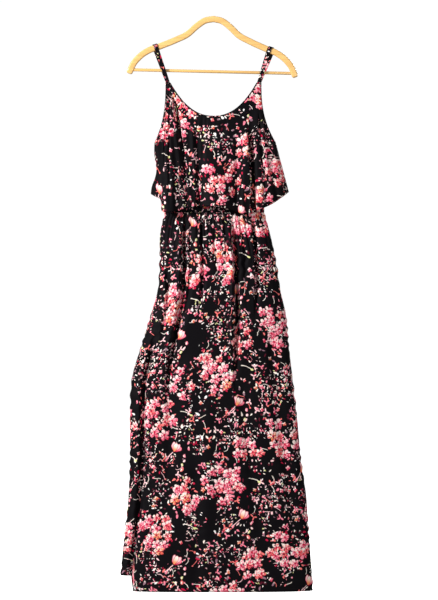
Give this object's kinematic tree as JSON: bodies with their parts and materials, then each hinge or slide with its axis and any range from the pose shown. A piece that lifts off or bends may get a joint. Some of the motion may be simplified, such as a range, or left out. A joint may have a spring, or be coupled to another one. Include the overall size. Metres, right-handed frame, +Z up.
{
  "type": "maxi dress on a wooden hanger",
  "caption": "Sleeveless full-length dress with thin straps, a loose flounce over the bodice and a gathered skirt, hung by its straps on a wooden hanger.",
  "frame": {"origin": "underside of the hanger bow's crown, where a peg carries it", "axes": "+Z up, +Y from the front of the dress to its back, +X to the right seen from the front"},
  "size_m": [0.5, 0.1181, 1.4925],
  "materials": {
    "printed_cloth": "matte",
    "binding": "matte",
    "wood": "satin"
  },
  "bodies": {
    "root": {"armhole_binding_left": "binding", "armhole_binding_right": "binding", "bodice_back": "printed_cloth", "bodice_front": "printed_cloth", "flounce_back": "printed_cloth", "flounce_front": "printed_cloth", "hanger_bar": "wood", "hanger_bow": "wood", "neck_binding_back": "binding", "neck_binding_front": "binding", "skirt_back": "printed_cloth", "skirt_front": "printed_cloth", "strap_left": "printed_cloth", "strap_right": "printed_cloth", "waist_casing_back": "printed_cloth", "waist_casing_front": "printed_cloth"}
  },
  "joints": []
}
